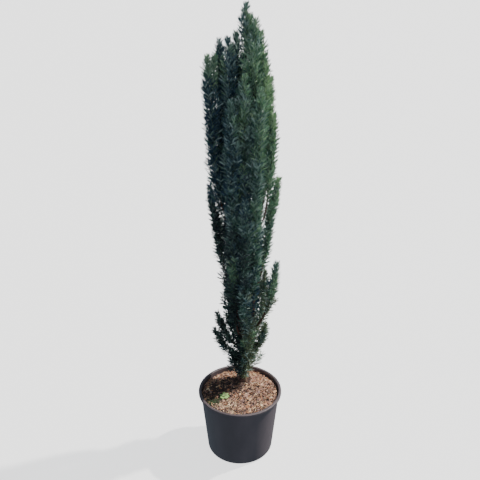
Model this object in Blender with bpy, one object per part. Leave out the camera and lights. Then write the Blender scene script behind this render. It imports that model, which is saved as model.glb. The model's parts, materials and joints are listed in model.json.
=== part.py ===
"""A young Irish yew, about 1.14 m tall, in its round black nursery pot.

Metres, +Z up. The origin is the centre of the pot's flat underside. The potting mix rises in a low mound
to the trunk, which stands behind the pot's centre. A second stem leaves the trunk low on its right, steep
boughs leave both, turn up and end where their masses of needles begin, and the short masses round the foot
sit straight on the trunk. A mass is a leafy stem with side shoots, each a slim core that needles stand out
of, and it keeps clear of the space of every other.
"""

import math
import random
from dataclasses import dataclass
from typing import Callable

import bmesh
import bpy
import numpy as np
from mathutils import Vector

# Pot
RIM_DIAMETER = 0.260
POT_HEIGHT = 0.213
BASE_DIAMETER = 0.206
WALL = 0.0022
BASE_THICKNESS = 0.003
RIM_BAND = 0.0085
RIM_OVERHANG = 0.0065
RIM_ROLL = 0.002
BASE_ROUND = 0.010
BASE_ROUND_STEPS = 4
POT_SIDES = 40
DRAIN_HOLES = 6
DRAIN_HOLE_RADIUS = 0.0055
DRAIN_HOLE_SIDES = 8
DRAIN_CIRCLE_RADIUS = 0.074

# Gap between pieces that touch
CLEAR = 0.0003

# Potting mix: its edge lies deeper under the rim at the back than at the front
SOIL_EDGE_DEPTH = 0.010
SOIL_EDGE_SLOPE = 0.005
SOIL_LUMPS = ((0.0022, 5, 7), (0.0015, 9, -11))
SOIL_RINGS = 6
FOOT_PATCH_RADIUS = 0.024

# The foot is where the trunk enters the mix, and all heights on the plant are taken from it
FOOT_X = 0.010
FOOT_Y = 0.055
FOOT_Z = 0.209

# Trunk
TRUNK_TOP = 0.975
TRUNK_RADIUS = 0.0105
TRUNK_TOP_RADIUS = 0.0028
TRUNK_TAPER = 0.8
FLARE_RADIUS = 0.0175
FLARE_HEIGHT = 0.022
FLARE_LOBES = 5
FLARE_LOBE_DEPTH = 0.16
TRUNK_SIDES = 12
TRUNK_STEP = 0.065
TRUNK_FINER = 1.7
TRUNK_BOW = 0.008
TRUNK_SWAY = 0.004
TRUNK_LEAN = 0.005

# Boughs: each leaves its parent at an angle and turns up, so that its tip stands nearly upright
BOUGH_SIDES = 6
BOUGH_STEP = 0.045
BOUGH_FINER = 1.4
BOUGH_RADIUS = 0.0050
BOUGH_TIP_RADIUS = 0.0026
BOUGH_SHARE = 0.62
BRANCH_SLOPE = 0.72
EARLY_REACH = 0.75
BOUGH_SWAY = 0.0030
SECOND_STEM_RADIUS = 0.0068
SECOND_STEM_LEAVES = 0.047
SECOND_STEM_EARLY_REACH = 0.42

# Masses of needles: the core swells in tiers along the stem, and every third thing on it is a shoot
STEM_SIDES = 5
STEM_STEP = 0.052
CORE_RADIUS = 0.0130
THINNEST_CORE = 0.0018
CORE_FOOT_SHARE = 0.06
CORE_TIP_SHARE = 0.9
CORE_BLUNTNESS = 0.6
TIER_DEPTH = 0.3
SHOOT_SIDES = 4
NEEDLE_STEP = 0.0210
SHOOT_EVERY = 3
TRIES = 4
SHOOT_LENGTH = 0.070
SHOOT_SHORTENING = 0.4
LENGTH_SPREAD = 0.15
SHOOT_RADIUS = 0.0080
SHOOT_LEAN = math.radians(27)
SHOOT_WIDEST = 0.5
NEEDLE_ON_SHOOT = 0.55
NEEDLE_LENGTH = 0.030
NEEDLE_WIDTH = 0.0085
NEEDLE_THICKNESS = 0.0035
NEEDLE_LEAN = math.radians(46)
NEEDLE_WIDEST = 0.6
TIP_NEEDLE_LEAN = math.radians(32)
TIP_LENGTH = 0.065
TIP_NEEDLE_STEP = 0.0095
BARE_TIP = 0.017
GOLDEN_ANGLE = math.radians(137.5)
KEEP_APART = 0.0010
ABOVE_SOIL = 0.004
FEWEST_RINGS = 4
SEED = 11

# Finishes: colour, roughness
PLASTIC = ((0.035, 0.034, 0.040), 0.45)
MIX = ((0.240, 0.140, 0.095), 0.95)
BARK = ((0.150, 0.075, 0.050), 0.85)
GREEN = ((0.030, 0.085, 0.035), 0.55)


@dataclass(frozen=True)
class Mass:
    """One mass of needles. Its tip is given right of, behind and above the foot of the trunk.

    Its bough leaves the parent limb at one height and ends at another, where the needles start. A mass
    with no start sits straight on its parent, and one that leaves nowhere carries its parent limb on.
    The early share of its reach is gained where its bough turns up.
    """

    parent: str
    right: float
    behind: float
    top: float
    leaves: float | None
    starts: float | None
    core: float = CORE_RADIUS
    early: float = EARLY_REACH


MASSES = {
    "top": Mass("trunk", 0.005, 0.000, 1.128, None, TRUNK_TOP, core=0.0080),
    "right_outer": Mass("second_stem", 0.055, -0.006, 1.009, None, 0.560),
    "right_inner": Mass("trunk", 0.029, -0.022, 1.093, 0.660, 0.740, core=0.0095),
    "right_middle": Mass("trunk", 0.044, 0.028, 1.060, 0.560, 0.640),
    "right_side": Mass("second_stem", 0.071, 0.030, 0.946, 0.545, 0.660),
    "right_bulge": Mass("second_stem", 0.078, -0.028, 0.860, 0.520, 0.640),
    "left_inner": Mass("trunk", -0.020, 0.030, 1.060, 0.480, 0.560, core=0.0110),
    "left_middle": Mass("trunk", -0.040, -0.024, 1.048, 0.560, 0.640),
    "left_second": Mass("trunk", -0.064, 0.022, 1.040, 0.530, 0.620),
    "left_outer": Mass("trunk", -0.094, -0.012, 1.005, 0.475, 0.610, early=0.85),
    "front_left": Mass("trunk", -0.034, -0.068, 0.900, 0.190, 0.280),
    "front_right": Mass("trunk", 0.042, -0.068, 0.930, 0.240, 0.330),
    "front_middle": Mass("trunk", 0.002, -0.052, 0.960, 0.400, 0.480),
    "back_middle": Mass("trunk", 0.000, 0.080, 1.000, 0.270, 0.370),
    "back_right": Mass("trunk", 0.054, 0.068, 0.930, 0.150, 0.260),
    "back_left": Mass("trunk", -0.056, 0.064, 0.960, 0.210, 0.310),
    "right_arm": Mass("second_stem", 0.097, -0.006, 0.676, 0.330, 0.430, core=0.0090, early=0.20),
    "left_arm": Mass("trunk", -0.096, 0.020, 0.644, 0.260, 0.360, core=0.0080, early=0.40),
    "middle_front": Mass("trunk", 0.004, -0.078, 0.640, 0.130, 0.230),
    "middle_left": Mass("trunk", -0.034, -0.034, 0.560, 0.150, 0.220),
    "right_twig": Mass("second_stem", 0.098, -0.022, 0.424, 0.180, 0.290, core=0.0060, early=0.60),
    "low_right": Mass("second_stem", 0.066, 0.034, 0.370, 0.120, 0.180),
    "low_left": Mass("trunk", -0.044, 0.036, 0.380, 0.085, 0.135),
    "low_back": Mass("trunk", 0.004, 0.056, 0.300, 0.060, 0.100),
    "low_front": Mass("trunk", 0.014, -0.050, 0.280, 0.045, None, core=0.0095),
    "low_twig_right": Mass("second_stem", 0.068, -0.024, 0.220, 0.105, None, core=0.0050),
    "low_twig_left": Mass("trunk", -0.080, 0.004, 0.242, 0.106, None, core=0.0050),
    "low_side_left": Mass("trunk", -0.087, -0.018, 0.196, 0.074, None, core=0.0050),
    "foot_left": Mass("trunk", -0.030, -0.014, 0.120, 0.016, None, core=0.0080),
    "foot_right": Mass("trunk", 0.032, 0.012, 0.125, 0.020, None, core=0.0080),
    "foot_front": Mass("trunk", 0.002, -0.034, 0.090, 0.010, None, core=0.0080),
}


@dataclass(frozen=True)
class Limb:
    """A limb between two heights, with its centre line and its radius given by height."""

    low: float
    high: float
    axis: Callable[[float], Vector]
    radius: Callable[[float], float]


def above_foot(right, behind, height):
    return Vector((FOOT_X + right, FOOT_Y + behind, FOOT_Z + height))


def trunk_axis(height):
    """The trunk bows a little to the left, and its tip stands a little right of the foot."""
    share = height / TRUNK_TOP
    right = TRUNK_LEAN * share - TRUNK_BOW * math.sin(math.pi * min(share, 1.0))
    return above_foot(right, TRUNK_SWAY * math.sin(2 * math.pi * share), height)


def trunk_radius(height):
    share = height / TRUNK_TOP
    taper = TRUNK_RADIUS + (TRUNK_TOP_RADIUS - TRUNK_RADIUS) * share**TRUNK_TAPER
    return taper + (FLARE_RADIUS - TRUNK_RADIUS) * math.exp(-height / FLARE_HEIGHT)


def rising_axis(name, parent_axis, mass, leaves, early):
    """A line that leaves its parent at the branching slope, turns up and ends at the mass's tip.

    It gains the early share of its reach in the turn, and the rest evenly on the way to the tip.
    """
    start = parent_axis(leaves)
    out = above_foot(mass.right, mass.behind, mass.top) - start
    out.z = 0.0
    reach = out.length
    out.normalize()
    across = Vector((-out.y, out.x, 0.0))
    turn_up = early * reach / BRANCH_SLOPE
    gained = reach * early / (1 - math.exp(-(mass.top - leaves) / turn_up))
    phase = random.Random(name).uniform(0, 2 * math.pi)

    def axis(height):
        share = (height - leaves) / (mass.top - leaves)
        lateral = gained * (1 - math.exp(-(height - leaves) / turn_up))
        lateral += reach * (1 - early) * share
        sway = BOUGH_SWAY * math.sin(3 * math.pi * share + phase) * math.sin(math.pi * min(share, 1.0))
        point = start + out * lateral + across * sway
        point.z = FOOT_Z + height
        return point

    return axis


def tapering(low, high, foot_radius):
    def radius(height):
        return foot_radius + (BOUGH_TIP_RADIUS - foot_radius) * (height - low) / (high - low)

    return radius


def plan_limbs():
    """The trunk, the second stem and a bough for each mass that has one."""
    limbs = {"trunk": Limb(0.0, TRUNK_TOP, trunk_axis, trunk_radius)}
    carried = MASSES["right_outer"]
    axis = rising_axis("second_stem", trunk_axis, carried, SECOND_STEM_LEAVES, SECOND_STEM_EARLY_REACH)
    radius = tapering(SECOND_STEM_LEAVES, carried.starts, SECOND_STEM_RADIUS)
    limbs["second_stem"] = Limb(SECOND_STEM_LEAVES, carried.starts, axis, radius)
    for name, mass in MASSES.items():
        if mass.leaves is None or mass.starts is None:
            continue
        parent = limbs[mass.parent]
        axis = rising_axis(name, parent.axis, mass, mass.leaves, mass.early)
        foot_radius = min(BOUGH_RADIUS, BOUGH_SHARE * parent.radius(mass.leaves))
        radius = tapering(mass.leaves, mass.starts, foot_radius)
        limbs["bough_" + name] = Limb(mass.leaves, mass.starts, axis, radius)
    return limbs


def carrier(name):
    """The limb that a mass meets end to end, or the one that it sits on."""
    mass = MASSES[name]
    if mass.leaves is None or mass.starts is None:
        return mass.parent
    return "bough_" + name


def plan_stems(limbs):
    """The points of each mass's leafy stem, which starts 0.3 mm over its bough or inside its parent."""
    stems = {}
    for name, mass in MASSES.items():
        axis = limbs[carrier(name)].axis
        low = mass.leaves
        if mass.starts is None:
            axis = rising_axis(name, axis, mass, mass.leaves, mass.early)
        else:
            low = mass.starts + CLEAR
        stems[name] = [axis(height) for height in spaced(low, mass.top, STEM_STEP)]
    return stems


def spaced(low, high, step, finer=1.0):
    """Heights from low to high, closer together at the start where a limb bends if finer is over 1."""
    count = max(FEWEST_RINGS, round((high - low) / step))
    return [low + (high - low) * (k / count) ** finer for k in range(count + 1)]


def frames_along(points):
    """At each point of a line: its direction, and two directions across it that never twist."""
    across = Vector((1.0, 0.0, 0.0))
    frames = []
    for k in range(len(points)):
        along = (points[min(k + 1, len(points) - 1)] - points[max(k - 1, 0)]).normalized()
        across = (across - along * across.dot(along)).normalized()
        frames.append((along, across, along.cross(across)))
    return frames


def tube(points, radii, sides, lobes=None):
    """Rings round a line. A radius of nothing makes a point."""
    rings = []
    for k, (_, across, other) in enumerate(frames_along(points)):
        if radii[k] == 0.0:
            rings.append([points[k]])
            continue
        ring = []
        for i in range(sides):
            a = 2 * math.pi * i / sides
            radius = radii[k] * (1 + (lobes(k, a) if lobes else 0.0))
            ring.append(points[k] + (across * math.cos(a) + other * math.sin(a)) * radius)
        rings.append(ring)
    return rings


def cut_level(ring, z):
    for point in ring:
        point.z = z


def circle(radius, z, sides, centre=(0.0, 0.0)):
    turns = [2 * math.pi * i / sides for i in range(sides)]
    return [Vector((centre[0] + radius * math.cos(a), centre[1] + radius * math.sin(a), z)) for a in turns]


def skin(name, rings):
    """A closed mesh over rings. An end ring of one point closes to it, and any other gets a cap."""
    bm = bmesh.new()
    made = [[bm.verts.new(point) for point in ring] for ring in rings]
    for lower, upper in zip(made, made[1:]):
        sides = max(len(lower), len(upper))
        for i in range(sides):
            j = (i + 1) % sides
            if len(lower) == 1:
                bm.faces.new((lower[0], upper[j], upper[i]))
            elif len(upper) == 1:
                bm.faces.new((lower[i], lower[j], upper[0]))
            else:
                bm.faces.new((lower[i], lower[j], upper[j], upper[i]))
    for end in (made[0], made[-1]):
        if len(end) > 1:
            bm.faces.new(end)
    bmesh.ops.recalc_face_normals(bm, faces=bm.faces)
    mesh = bpy.data.meshes.new(name)
    bm.to_mesh(mesh)
    bm.free()
    return mesh


def piece(name, mesh, finish):
    """A named object with its own plain material."""
    colour, roughness = finish
    material = bpy.data.materials.new(name)
    material.use_nodes = True
    shader = material.node_tree.nodes["Principled BSDF"]
    shader.inputs["Base Color"].default_value = (*colour, 1.0)
    shader.inputs["Roughness"].default_value = roughness
    shader.inputs["Metallic"].default_value = 0.0
    mesh.materials.append(material)
    made = bpy.data.objects.new(name, mesh)
    bpy.context.scene.collection.objects.link(made)
    return made


def cutter(mesh):
    """An object that only cuts others."""
    made = bpy.data.objects.new(mesh.name, mesh)
    bpy.context.scene.collection.objects.link(made)
    made.hide_render = True
    made.display_type = "WIRE"
    return made


def cut(target, tool):
    modifier = target.modifiers.new("cut_" + tool.name, "BOOLEAN")
    modifier.operation = "DIFFERENCE"
    modifier.object = tool


def outer_radius(z):
    """The pot's wall tapers straight from under the rim to the base."""
    under_rim = RIM_DIAMETER / 2 - RIM_OVERHANG
    return BASE_DIAMETER / 2 + (under_rim - BASE_DIAMETER / 2) * z / POT_HEIGHT


def inner_radius(z):
    return outer_radius(z) - WALL


def make_pot():
    """The pot, turned from one profile: rounded foot, wall, rolled rim and inside."""
    profile = []
    for k in range(BASE_ROUND_STEPS + 1):
        a = math.pi / 2 * k / BASE_ROUND_STEPS
        radius = outer_radius(BASE_ROUND) - BASE_ROUND * (1 - math.sin(a))
        profile.append((radius, BASE_ROUND * (1 - math.cos(a))))
    rim = RIM_DIAMETER / 2
    band_foot = POT_HEIGHT - RIM_BAND
    profile += [
        (outer_radius(band_foot), band_foot),
        (rim - RIM_ROLL, band_foot),
        (rim, band_foot + RIM_ROLL),
        (rim, POT_HEIGHT - RIM_ROLL),
        (rim - RIM_ROLL, POT_HEIGHT),
        (inner_radius(POT_HEIGHT) + RIM_ROLL, POT_HEIGHT),
        (inner_radius(POT_HEIGHT), POT_HEIGHT - RIM_ROLL),
        (inner_radius(BASE_THICKNESS), BASE_THICKNESS),
    ]
    pot = piece("pot", skin("pot", [circle(radius, z, POT_SIDES) for radius, z in profile]), PLASTIC)
    for i in range(DRAIN_HOLES):
        a = 2 * math.pi * i / DRAIN_HOLES
        centre = (DRAIN_CIRCLE_RADIUS * math.cos(a), DRAIN_CIRCLE_RADIUS * math.sin(a))
        ends = [circle(DRAIN_HOLE_RADIUS, z, DRAIN_HOLE_SIDES, centre) for z in (-BASE_ROUND, BASE_ROUND)]
        cut(pot, cutter(skin("drain_hole_cutter", ends)))


def make_potting_mix():
    """The mix fills the pot, 0.3 mm clear of it, and has a level patch for the trunk."""
    floor = BASE_THICKNESS + CLEAR
    turns = [2 * math.pi * i / POT_SIDES for i in range(POT_SIDES)]
    edge = []
    for a in turns:
        z = POT_HEIGHT - SOIL_EDGE_DEPTH - SOIL_EDGE_SLOPE * math.sin(a)
        radius = inner_radius(z) - CLEAR
        edge.append(Vector((radius * math.cos(a), radius * math.sin(a), z)))
    patch = circle(FOOT_PATCH_RADIUS, FOOT_Z - CLEAR, POT_SIDES, (FOOT_X, FOOT_Y))
    rings = [circle(inner_radius(floor) - CLEAR, floor, POT_SIDES), edge]
    for k in range(SOIL_RINGS - 1, -1, -1):
        share = k / SOIL_RINGS
        slope = 0.5 - 0.5 * math.cos(math.pi * share)
        unevenness = 2 * share * (1 - share)
        ring = []
        for a, inside, outside in zip(turns, patch, edge):
            point = inside.lerp(outside, share)
            lumps = sum(size * math.sin(round_it * a + down * share) for size, round_it, down in SOIL_LUMPS)
            point.z = inside.z + (outside.z - inside.z) * slope + lumps * unevenness
            ring.append(point)
        rings.append(ring)
    piece("potting_mix", skin("potting_mix", rings), MIX)


def make_limb(name, limb, parent_tool):
    """A limb, its foot cut by its parent's tool, and its own tool, 0.3 mm fatter, for what leaves it."""
    sides, step, finer = BOUGH_SIDES, BOUGH_STEP, BOUGH_FINER
    if name == "trunk":
        sides, step, finer = TRUNK_SIDES, TRUNK_STEP, TRUNK_FINER
    heights = spaced(limb.low, limb.high, step, finer)
    points = [limb.axis(height) for height in heights]

    def root_lobes(k, a):
        depth = FLARE_LOBE_DEPTH * math.exp(-heights[k] / FLARE_HEIGHT)
        return depth * math.sin(FLARE_LOBES * a)

    lobes = root_lobes if name == "trunk" else None
    shapes = []
    for extra in (0.0, CLEAR):
        radii = [limb.radius(height) + extra for height in heights]
        shapes.append(tube(points, radii, sides, lobes))
    if name == "trunk":
        cut_level(shapes[0][0], FOOT_Z)
    cut_level(shapes[0][-1], FOOT_Z + limb.high)
    made = piece(name, skin(name, shapes[0]), BARK)
    if parent_tool:
        cut(made, parent_tool)
    return cutter(skin(name + "_cutter", shapes[1]))


def rod_gaps(start, end, starts, ends):
    """The least distance between one straight rod's centre line and each of many others'."""
    along, others, between = end - start, ends - starts, start - starts
    a, b, c = along @ along, others @ along, (others * others).sum(1)
    d, e = between @ along, (others * between).sum(1)
    tiny = 1e-14
    on_one = np.clip((b * e - c * d) / np.maximum(a * c - b * b, tiny), 0.0, 1.0)
    on_other = np.clip((b * on_one + e) / np.maximum(c, tiny), 0.0, 1.0)
    on_one = np.clip((b * on_other - d) / max(a, tiny), 0.0, 1.0)
    gaps = start + along * on_one[:, None] - starts - others * on_other[:, None]
    return np.sqrt((gaps * gaps).sum(1))


class Room:
    """Every rod of wood and needle placed so far, with the name of the node it belongs to."""

    def __init__(self):
        self.rods = np.empty((0, 7))
        self.owners = np.empty(0, dtype="<U60")

    def take(self, owner, points, radii):
        for k in range(len(points) - 1):
            rod = np.array([[*points[k], *points[k + 1], max(radii[k], radii[k + 1])]])
            self.rods = np.vstack((self.rods, rod))
            self.owners = np.append(self.owners, owner)

    def gap(self, start, end, left_out):
        """From a rod's centre line to the nearest surface that belongs to no node left out."""
        rods = self.rods[~np.isin(self.owners, left_out)]
        if not len(rods):
            return math.inf
        gaps = rod_gaps(np.array(start), np.array(end), rods[:, 0:3], rods[:, 3:6])
        return float((gaps - rods[:, 6]).min())


def core_radius(name, share, tier):
    """A core is thin at its foot and tip, thickest below its middle, and swells in tiers."""
    swell = math.sin(math.pi * min(1.0, CORE_FOOT_SHARE + share / CORE_TIP_SHARE)) ** CORE_BLUNTNESS
    narrowing = 1.0 if tier % 2 else 1.0 - TIER_DEPTH
    return max(THINNEST_CORE, MASSES[name].core * swell * narrowing)


def plan_cores(stems, lines, room):
    """The radii of each mass's core, less where another mass's stem or a limb runs close."""
    cores = {}
    for name, points in stems.items():
        radii = []
        for k, point in enumerate(points):
            free = min(lines.gap(point, point, [name]) / 2, room.gap(point, point, [carrier(name)]))
            wanted = core_radius(name, k / (len(points) - 1), k)
            radii.append(max(min(wanted, free - KEEP_APART), THINNEST_CORE))
        radii[0] = BOUGH_TIP_RADIUS
        radii[-1] = 0.0
        cores[name] = radii
    return cores


def leaning(frame, turn, lean):
    """A direction leaning away from a line by an angle, at a turn round it, and the way it leans."""
    along, across, other = frame
    out = across * math.cos(turn) + other * math.sin(turn)
    return along * math.cos(lean) + out * math.sin(lean), out


def needle(root, direction, out, length):
    """Three long faces from a buried root to the widest place, and three on to the tip."""
    across = direction.cross(out).normalized() * NEEDLE_WIDTH / 2
    over = across.cross(direction).normalized() * NEEDLE_THICKNESS
    belly = root + direction * length * NEEDLE_WIDEST
    ring = [belly + across, belly + over, belly - across]
    return skin("needle", [[root], ring, [root + direction * length]])


class Grower:
    """Grows one mass: the core, its side shoots and its needles, each a closed mesh."""

    def __init__(self, name, points, radii, room, lines):
        self.name = name
        self.owner = "needles_" + name
        self.points = points
        self.radii = radii
        self.room = room
        self.lines = lines
        self.low = points[0].z
        self.high = points[-1].z
        self.draw = random.Random(f"{SEED} {name}")
        self.turn = self.draw.uniform(0, 2 * math.pi)
        rings = tube(points, radii, STEM_SIDES)
        cut_level(rings[0], self.low)
        self.meshes = [skin(self.owner, rings)]

    def share(self, z):
        return (z - self.low) / (self.high - self.low)

    def core_at(self, z):
        """The core's centre, frame and radius at a level."""
        last = len(self.points) - 2
        k, part = divmod(self.share(z) * (last + 1), 1)
        k = min(int(k), last)
        centre = self.points[k].lerp(self.points[k + 1], part)
        frame = frames_along(self.points[k : k + 2])[0]
        return centre, frame, self.radii[k] + (self.radii[k + 1] - self.radii[k]) * part

    def is_free(self, start, end, radius):
        """Whether a rod lies over the soil, in this mass's own space, and clear of other nodes."""
        if min(start.z, end.z) < FOOT_Z + ABOVE_SOIL:
            return False
        to_own_stem = self.lines.gap(end, end, [name for name in MASSES if name != self.name])
        if self.lines.gap(end, end, [self.name]) < to_own_stem:
            return False
        return self.room.gap(start, end, [self.owner]) > radius + KEEP_APART

    def spread(self, length):
        return length * self.draw.uniform(1 - LENGTH_SPREAD, 1 + LENGTH_SPREAD)

    def add_needle(self, root, buried, frame, lean):
        """A needle, if the stretch past the wood that its root is buried in is free."""
        way, out = leaning(frame, self.turn, lean)
        length = buried + self.spread(NEEDLE_LENGTH)
        seen, tip = root + way * buried, root + way * length
        if not self.is_free(seen, tip, NEEDLE_WIDTH / 2):
            return False
        self.room.take(self.owner, [seen, tip], [NEEDLE_WIDTH / 2] * 2)
        self.meshes.append(needle(root, way, out, length))
        return True

    def add_stem_needle(self, z, lean):
        root, frame, buried = self.core_at(z)
        return self.add_needle(root, buried, frame, lean)

    def add_shoot(self, z):
        """A side shoot that leans out, with a needle standing out of it."""
        root, frame, buried = self.core_at(z)
        way, _ = leaning(frame, self.turn, SHOOT_LEAN)
        tip = root + way * self.spread(SHOOT_LENGTH) * (1 - SHOOT_SHORTENING * self.share(z))
        if not self.is_free(root + way * (buried + SHOOT_RADIUS), tip, SHOOT_RADIUS):
            return False
        self.room.take(self.owner, [root, tip], [SHOOT_RADIUS] * 2)
        line = [root, root.lerp(tip, SHOOT_WIDEST), tip]
        self.meshes.append(skin("shoot", tube(line, [0.0, SHOOT_RADIUS, 0.0], SHOOT_SIDES)))
        self.turn += GOLDEN_ANGLE
        shoot_frame = frames_along([root, tip])[0]
        self.add_needle(root.lerp(tip, NEEDLE_ON_SHOOT), SHOOT_RADIUS / 2, shoot_frame, NEEDLE_LEAN)
        return True

    def turn_until(self, add, *values):
        """Turns round the stem until what is added there fits."""
        for _ in range(TRIES):
            self.turn += GOLDEN_ANGLE
            if add(*values):
                return

    def grow(self):
        tip_start = max(self.low, self.high - TIP_LENGTH)
        for place in range(1, int((tip_start - self.low) / NEEDLE_STEP) + 1):
            z = self.low + place * NEEDLE_STEP
            if place % SHOOT_EVERY == 1:
                self.turn_until(self.add_shoot, z)
            else:
                self.turn_until(self.add_stem_needle, z, NEEDLE_LEAN)
        for place in range(int((TIP_LENGTH - BARE_TIP) / TIP_NEEDLE_STEP) + 1):
            self.turn_until(self.add_stem_needle, tip_start + place * TIP_NEEDLE_STEP, TIP_NEEDLE_LEAN)
        return self.meshes


def join(name, meshes):
    """One closed solid out of meshes that overlap."""
    made = piece(name, meshes[0], GREEN)
    group = bpy.data.collections.new(name + "_pieces")
    bpy.context.scene.collection.children.link(group)
    loose = [bpy.data.objects.new("loose", mesh) for mesh in meshes[1:]]
    for thing in loose:
        group.objects.link(thing)
    union = made.modifiers.new("union", "BOOLEAN")
    union.operation = "UNION"
    union.operand_type = "COLLECTION"
    union.collection = group
    graph = bpy.context.evaluated_depsgraph_get()
    made.data = bpy.data.meshes.new_from_object(made.evaluated_get(graph))
    made.modifiers.clear()
    for thing in loose:
        bpy.data.objects.remove(thing)
    bpy.data.collections.remove(group)
    return made


def make_wood(limbs, room):
    """The trunk, the second stem and the boughs. Returns the tool that each cuts others with."""
    tools = {}
    for name, limb in limbs.items():
        parent = "trunk" if name == "second_stem" else None
        if name.startswith("bough_"):
            parent = MASSES[name.removeprefix("bough_")].parent
        tools[name] = make_limb(name, limb, tools.get(parent))
        heights = spaced(limb.low, limb.high, BOUGH_STEP, BOUGH_FINER)
        room.take(name, [limb.axis(h) for h in heights], [limb.radius(h) for h in heights])
    return tools


def make_masses(limbs, room, tools):
    stems = plan_stems(limbs)
    lines = Room()
    for name, points in stems.items():
        lines.take(name, points, [0.0] * len(points))
    cores = plan_cores(stems, lines, room)
    for name, points in stems.items():
        room.take("needles_" + name, points, cores[name])
    for name, points in stems.items():
        grower = Grower(name, points, cores[name], room, lines)
        mass = join("needles_" + name, grower.grow())
        if MASSES[name].starts is None:
            cut(mass, tools[carrier(name)])


def main():
    for leftover in list(bpy.data.objects):
        bpy.data.objects.remove(leftover)
    make_pot()
    make_potting_mix()
    limbs = plan_limbs()
    room = Room()
    tools = make_wood(limbs, room)
    make_masses(limbs, room, tools)


main()
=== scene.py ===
"""The looks of a potted Irish yew: fine needles on every mass, bark on the wood, loose mix and a moulded pot.

Metres, +Z up, in the frame of the solids. The limbs and leafy stems follow the same rule as the solids, with the
same sizes. Each leafy stem is carried on to side shoots and twiglets, and needles stand all round them. Needles,
twigs and bits of mix are small closed shapes, made as arrays and joined by kind.
"""

import json
import math
import random
from dataclasses import dataclass
from typing import Callable

import bmesh
import bpy
import numpy as np
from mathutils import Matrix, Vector, noise

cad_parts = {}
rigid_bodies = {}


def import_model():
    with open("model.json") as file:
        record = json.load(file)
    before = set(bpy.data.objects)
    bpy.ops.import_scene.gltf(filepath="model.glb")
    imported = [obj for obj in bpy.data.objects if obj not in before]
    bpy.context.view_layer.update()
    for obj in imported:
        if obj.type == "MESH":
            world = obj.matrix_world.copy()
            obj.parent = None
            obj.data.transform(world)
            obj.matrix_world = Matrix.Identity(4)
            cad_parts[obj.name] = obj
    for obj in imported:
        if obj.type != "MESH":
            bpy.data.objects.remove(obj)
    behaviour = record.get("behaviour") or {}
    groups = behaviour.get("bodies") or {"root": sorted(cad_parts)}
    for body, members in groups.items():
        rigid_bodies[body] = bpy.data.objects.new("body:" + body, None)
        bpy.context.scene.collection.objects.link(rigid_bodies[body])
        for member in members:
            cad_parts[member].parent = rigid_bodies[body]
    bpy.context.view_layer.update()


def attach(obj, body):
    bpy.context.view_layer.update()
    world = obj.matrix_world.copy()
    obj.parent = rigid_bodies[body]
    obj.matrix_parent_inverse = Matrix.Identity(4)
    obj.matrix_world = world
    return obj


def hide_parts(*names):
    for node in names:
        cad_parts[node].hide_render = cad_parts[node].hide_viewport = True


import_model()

# Camera, as the photograph was taken
CAMERA_PLACE = (0.0, -1.546, 1.389)
CAMERA_TILT = math.radians(23.3)
CAMERA_LENS = 44.85
CAMERA_SENSOR = 36.0

# Light
FLOOR_HALF_WIDTH = 90.0
FLOOR_COLOUR = (0.40, 0.40, 0.40)
FLOOR_GLOW = 1.7
BACKDROP_RADIUS = 60.0
BACKDROP_GLOW = 2.47
BACKDROP_COLOUR = (1.0, 1.0, 1.0, 1.0)
WORLD_LIGHT = 0.36
KEY_PLACE = (1.0, 0.35, 1.25)
KEY_LIGHT = 6.5
KEY_ANGLE = 2.0
FILL_PLACE = (0.5, -1.0, 0.7)
FILL_LIGHT = 0.35
FILL_ANGLE = 40.0

# Pot
RIM_RADIUS = 0.130
POT_HEIGHT = 0.213
BASE_RADIUS = 0.103
WALL = 0.0022
BASE_THICKNESS = 0.003
RIM_BAND = 0.0085
RIM_OVERHANG = 0.0065
RIM_ROLL = 0.0022
BASE_ROUND = 0.010
FOOT_RING = 0.006
FOOT_RECESS = 0.0012
ARC_STEPS = 6
POT_SIDES = 160
DRAIN_HOLES = 6
DRAIN_HOLE_RADIUS = 0.0055
DRAIN_HOLE_SIDES = 24
DRAIN_CIRCLE_RADIUS = 0.074

# Potting mix: its edge lies deeper under the rim at the back than at the front
CLEAR = 0.0003
SOIL_EDGE_DEPTH = 0.010
SOIL_EDGE_SLOPE = 0.005
SOIL_LUMPS = ((0.0022, 5, 7), (0.0015, 9, -11))
SOIL_RINGS = 34
SOIL_SIDES = 150
SOIL_GRAIN = 0.0014
FOOT_PATCH_RADIUS = 0.024
FIBRES = 3400
FLAKES = 550
CRUMBS = 2400
# Patches of one tone on the mix: x, y, radius, tone and share. The two dark patches left of and behind the trunk are
# painted shadow of the crown; the moss and straw patches are the mix's own
MIX_PATCHES = (
    (-0.045, 0.020, 0.052, "mix_dark_and_painted_shadow", 0.65),
    (-0.082, -0.012, 0.036, "mix_dark_and_painted_shadow", 0.65),
    (-0.084, -0.058, 0.022, "mix_moss", 0.90),
    (-0.064, -0.046, 0.020, "mix_moss", 0.55),
    (-0.048, -0.090, 0.036, "mix_straw", 0.40),
)
WEED_PLACE = (-0.051, -0.034)
WEED_LEAVES = ((7, 0.0085, 0.0048, 0.15), (4, 0.0052, 0.0034, 0.75))
WEED_HEIGHT = 0.003
CHIP_PLACE = (0.049, 0.082)
CHIP_HALVES = (0.0075, 0.0042)
CHIP_THICKNESS = 0.004

# Where the trunk enters the mix
FOOT_X = 0.010
FOOT_Y = 0.055
FOOT_Z = 0.209

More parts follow.
